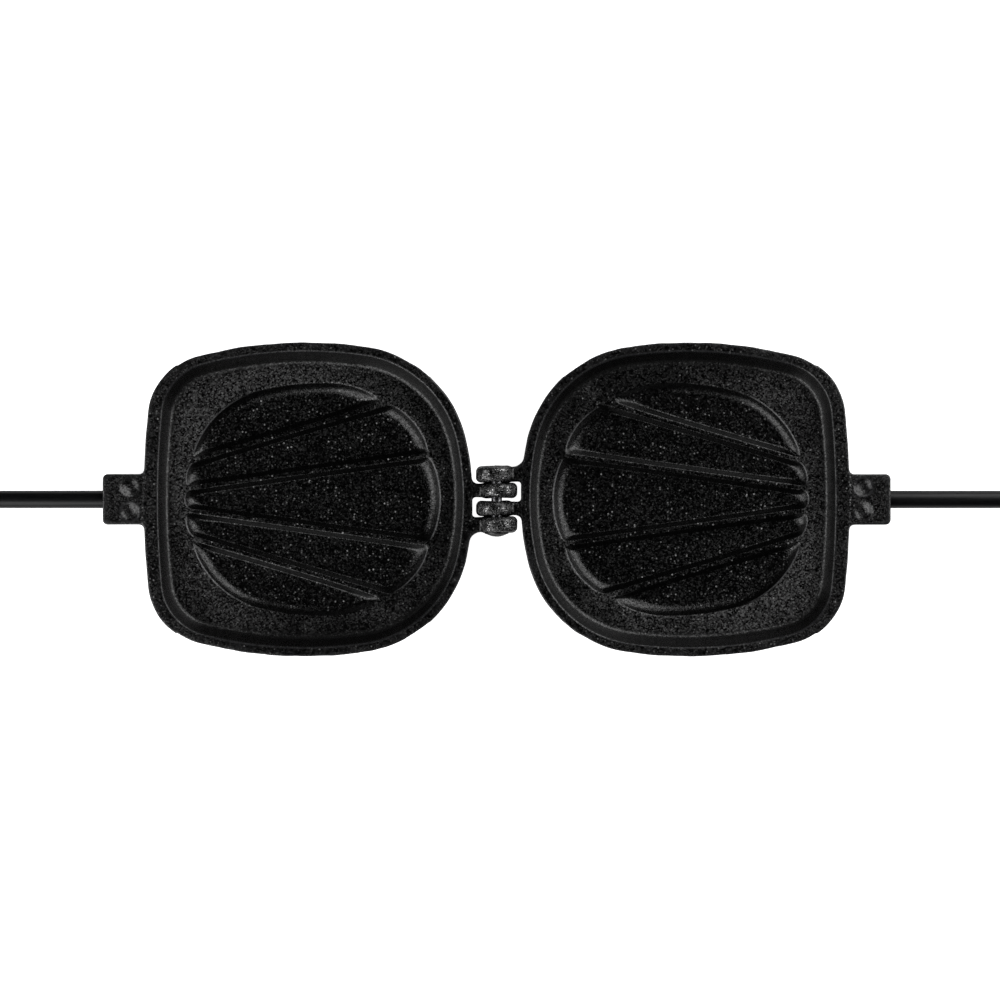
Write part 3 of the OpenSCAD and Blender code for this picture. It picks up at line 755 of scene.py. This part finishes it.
# Steel pin, blackened by fire on its head, its shank rubbed grey where the fingers turn on it
def firedPin():
    material, tree = newMaterial("blackenedSteel")
    place = addNode(tree, "ShaderNodeTexCoord").outputs["Object"]
    spots = grain(tree, place, pinFinish["spots"], 3.0, 0.6).outputs["Fac"]
    beside = addNode(tree, "ShaderNodeSeparateXYZ", {0: place}).outputs["Y"]
    away = addNode(tree, "ShaderNodeMath", {0: beside}, operation="ABSOLUTE").outputs[0]
    head = fit(tree, away, 14.6 * mm, 14.9 * mm)
    shank = mixColour(tree, fit(tree, spots, 0.45, 0.62), *map(srgb, pinFinish["shank"]))
    black = mixColour(tree, fit(tree, spots, 0.5, 0.66), *map(srgb, pinFinish["head"]))
    bump = addNode(tree, "ShaderNodeBump", {"Height": spots}, {"Strength": 0.3, "Distance": 0.1 * mm})
    finishMaterial(tree, {"Base Color": mixColour(tree, head, shank, black),
                          "Roughness": fit(tree, spots, 0.3, 0.7, 0.2, 0.35),
                          "Metallic": fit(tree, head, 0, 1, 0.7, 0.0), "Normal": bump.outputs[0]}, {})
    return material


beechFinish = {
    "rings": 5.5,     # mm from ring to ring across the grain
    "flecks": 0.7,    # coarser than beech's own, so that they show
    "clouds": 9.0,
    "early": "#b07a48", "late": "#94602f", "pale": "#c08a57", "fleck": "#5f3a1c",
}


# Beech, turned, sawn in half and oiled: warm brown with long grain and short dark flecks
def oiledBeech():
    material, tree = newMaterial("oiledBeech")
    place = addNode(tree, "ShaderNodeTexCoord").outputs["Object"]
    along = addNode(tree, "ShaderNodeMapping", {"Vector": place}, {"Scale": (0.06, 1, 1)}).outputs[0]
    clouds = grain(tree, along, beechFinish["clouds"], 2.0).outputs["Fac"]
    rings = addNode(tree, "ShaderNodeTexWave", {"Vector": along},
                    {"Scale": 1 / (beechFinish["rings"] * mm) / 6, "Distortion": 5.0, "Detail": 3.0,
                     "Detail Scale": 1.2}, bands_direction="Y").outputs["Fac"]
    flecks = grain(tree, along, beechFinish["flecks"], 2.0, 0.6).outputs["Fac"]
    tone = mixColour(tree, rings, srgb(beechFinish["early"]), srgb(beechFinish["late"]))
    tone = mixColour(tree, fit(tree, clouds, 0.4, 0.7, 0, 0.5), tone, srgb(beechFinish["pale"]))
    tone = mixColour(tree, fit(tree, flecks, 0.6, 0.72, 0, 0.6), tone, srgb(beechFinish["fleck"]))
    bump = addNode(tree, "ShaderNodeBump", {"Height": flecks}, {"Strength": 0.25, "Distance": 0.1 * mm})
    finishMaterial(tree, {"Base Color": tone, "Roughness": fit(tree, rings, 0, 1, 0.42, 0.5),
                          "Normal": bump.outputs[0]}, {"IOR": 1.5})
    return material


zincFinish = {
    "clouds": 4.0,     # mm
    "scratches": 0.4,  # wider than real scratches, so that they show
    "tones": ("#b4b6b8", "#c9cacb"),
}


# Steel, stamped or turned and zinc plated: cool grey, cloudy, finely scratched
def zincSteel():
    material, tree = newMaterial("zincPlatedSteel")
    place = addNode(tree, "ShaderNodeTexCoord").outputs["Object"]
    clouds = grain(tree, place, zincFinish["clouds"], 3.0).outputs["Fac"]
    drawn = addNode(tree, "ShaderNodeMapping", {"Vector": place},
                    {"Scale": (1, 0.08, 1), "Rotation": (0.3, 0, 0.5)}).outputs[0]
    scratches = grain(tree, drawn, zincFinish["scratches"], 2.0).outputs["Fac"]
    tone = mixColour(tree, fit(tree, clouds, 0.35, 0.65), *map(srgb, zincFinish["tones"]))
    bump = addNode(tree, "ShaderNodeBump", {"Height": scratches},
                   {"Strength": 0.2, "Distance": 0.05 * mm})
    finishMaterial(tree, {"Base Color": tone, "Roughness": fit(tree, scratches, 0.3, 0.7, 0.28, 0.42),
                          "Normal": bump.outputs[0]}, {"Metallic": 1.0})
    return material


slotFinish = {"cast_iron": castIron(), "rod_finish": blackRod(), "pin_steel": firedPin(),
              "grip_wood": oiledBeech(), "plated_steel": zincSteel()}
print("materials")


# One piece for each side, made on the right
def addPair(kind, nodeKind, materialSlot, mesh):
    addPiece("right" + kind, "right_half", "right_" + nodeKind, materialSlot, mesh)
    addPiece("left" + kind, "left_half", "left_" + nodeKind, materialSlot, turnedRound(mesh))


def ringMesh(start, end, outer, edge):
    form = ring(start, end, outer, hardware["spigotRadius"] + 0.05, edge)
    z = hardware["rodHeight"]
    return formMesh("ring", form, (start, -outer, z - outer), (end, outer, z + outer))


def gripMesh():
    belly = hardware["gripRadii"][1]
    return formMesh("grip", gripForm, (hardware["gripStart"], -belly, 0),
                    (hardware["gripEnd"], belly, hardware["sawnAt"]))


def nutMesh():
    start, height, width, domeRadius, rise = hardware["nut"]
    z, across = hardware["rodHeight"], width * 0.6
    return formMesh("nut", nutForm, (start, -across, z - across),
                    (start + height + rise + domeRadius, across, z + across))


def plateMesh():
    back, front, eye, hook, pitch = hardware["plate"][:5]
    z = hardware["rodHeight"]
    return formMesh("plate", plateForm, (back, -eye, z - hook), (front, pitch + hook, z + hook))


addPair("Casting", "iron", "cast_iron", castingMesh())
print("castings")
washerRadius, washerThick = hardware["washer"]
for kind, nodeKind, start in (("FrontWasher", "front_washer", hardware["shoulder"]),
                              ("EndWasher", "end_washer", hardware["endWasher"])):
    addPair(kind, nodeKind, "plated_steel", ringMesh(start, start + washerThick, washerRadius, 0.3))
addPair("Rod", "rod", "rod_finish", rodMesh())
addPair("Grip", "grip", "grip_wood", gripMesh())
addPair("CapNut", "cap_nut", "plated_steel", nutMesh())
addPiece("latchSleeve", "right_half", "latch_sleeve", "plated_steel", ringMesh(*hardware["sleeve"], 0.2))
addPiece("latchPlate", "latch", "latch_plate", "plated_steel", plateMesh())
addPiece("hingePin", "left_half", "hinge_pin", "pin_steel",
         formMesh("pin", pinForm, *hardware["pinRoom"]))
print("handles and latch")

# Stage, lamps and camera

stage = {
    "floorSize": 12.0,
    "camera": (0.0015, -0.00027),   # where the photograph's middle falls
    "cameraHeight": 1.6,             # above the meeting face
    "field": 0.4515,                 # width of the picture on the meeting face
    "lamps": (((-0.53, -0.33, 0.38), (-0.05, 0, 0), (1.15, 0.56), 7.9),
              ((0.53, 0.33, 0.38), (0.05, 0, 0), (1.15, 0.56), 7.9)),
    "worldGrey": "#202020",
}


def whiteStage():
    material, tree = newMaterial("whiteStage")
    rays = addNode(tree, "ShaderNodeLightPath")
    paper = grain(tree, addNode(tree, "ShaderNodeTexCoord").outputs["Object"], 4.0, 2.0).outputs["Fac"]
    tone = mixColour(tree, paper, srgb("#f0f0f0"), srgb("#f4f4f4"))
    matt = addNode(tree, "ShaderNodeBsdfDiffuse", {"Color": tone})
    glow = addNode(tree, "ShaderNodeEmission", {"Strength": rays.outputs["Is Camera Ray"]},
                   {"Color": (1, 1, 1, 1)})
    both = addNode(tree, "ShaderNodeAddShader", {0: matt.outputs[0], 1: glow.outputs[0]})
    addNode(tree, "ShaderNodeOutputMaterial", {"Surface": both.outputs[0]})
    return material


half, below = stage["floorSize"] / 2, -0.3 * mm  # just under the feet, which stand at zero
floorMesh = meshFrom("floor", [(-half, -half, below), (half, -half, below), (half, half, below),
                               (-half, half, below)], [(0, 1, 2, 3)])
floor = bpy.data.objects.new("floor", floorMesh)
bpy.context.scene.collection.objects.link(floor)
floor.data.materials.append(whiteStage())

world = bpy.data.worlds.new("studio")
bpy.context.scene.world = world
world.use_nodes = True
world.node_tree.nodes.clear()
rays = addNode(world.node_tree, "ShaderNodeLightPath")
dim = addNode(world.node_tree, "ShaderNodeBackground", values={"Color": srgb(stage["worldGrey"])})
white = addNode(world.node_tree, "ShaderNodeBackground", values={"Color": (1, 1, 1, 1)})
choice = addNode(world.node_tree, "ShaderNodeMixShader",
                 {0: rays.outputs["Is Camera Ray"], 1: dim.outputs[0], 2: white.outputs[0]})
addNode(world.node_tree, "ShaderNodeOutputWorld", {"Surface": choice.outputs[0]})

for place, target, size, power in stage["lamps"]:
    lampData = bpy.data.lights.new("softbox", "AREA")
    lampData.shape = "RECTANGLE"
    lampData.size, lampData.size_y = size
    lampData.energy = power
    lamp = bpy.data.objects.new("softbox", lampData)
    lamp.location = place
    lamp.rotation_euler = (Vector(target) - Vector(place)).to_track_quat("-Z", "Y").to_euler()
    lamp.visible_camera = False
    bpy.context.scene.collection.objects.link(lamp)

cameraData = bpy.data.cameras.new("camera")
cameraData.sensor_width = 36.0
cameraData.lens = 36.0 * stage["cameraHeight"] / stage["field"]
cameraData.clip_end = 100
camera = bpy.data.objects.new("camera", cameraData)
camera.location = (*stage["camera"], stage["cameraHeight"] + iron["height"] * mm)
bpy.context.scene.collection.objects.link(camera)
bpy.context.scene.camera = camera
bpy.context.scene.view_settings.view_transform = "Standard"
print("stage")
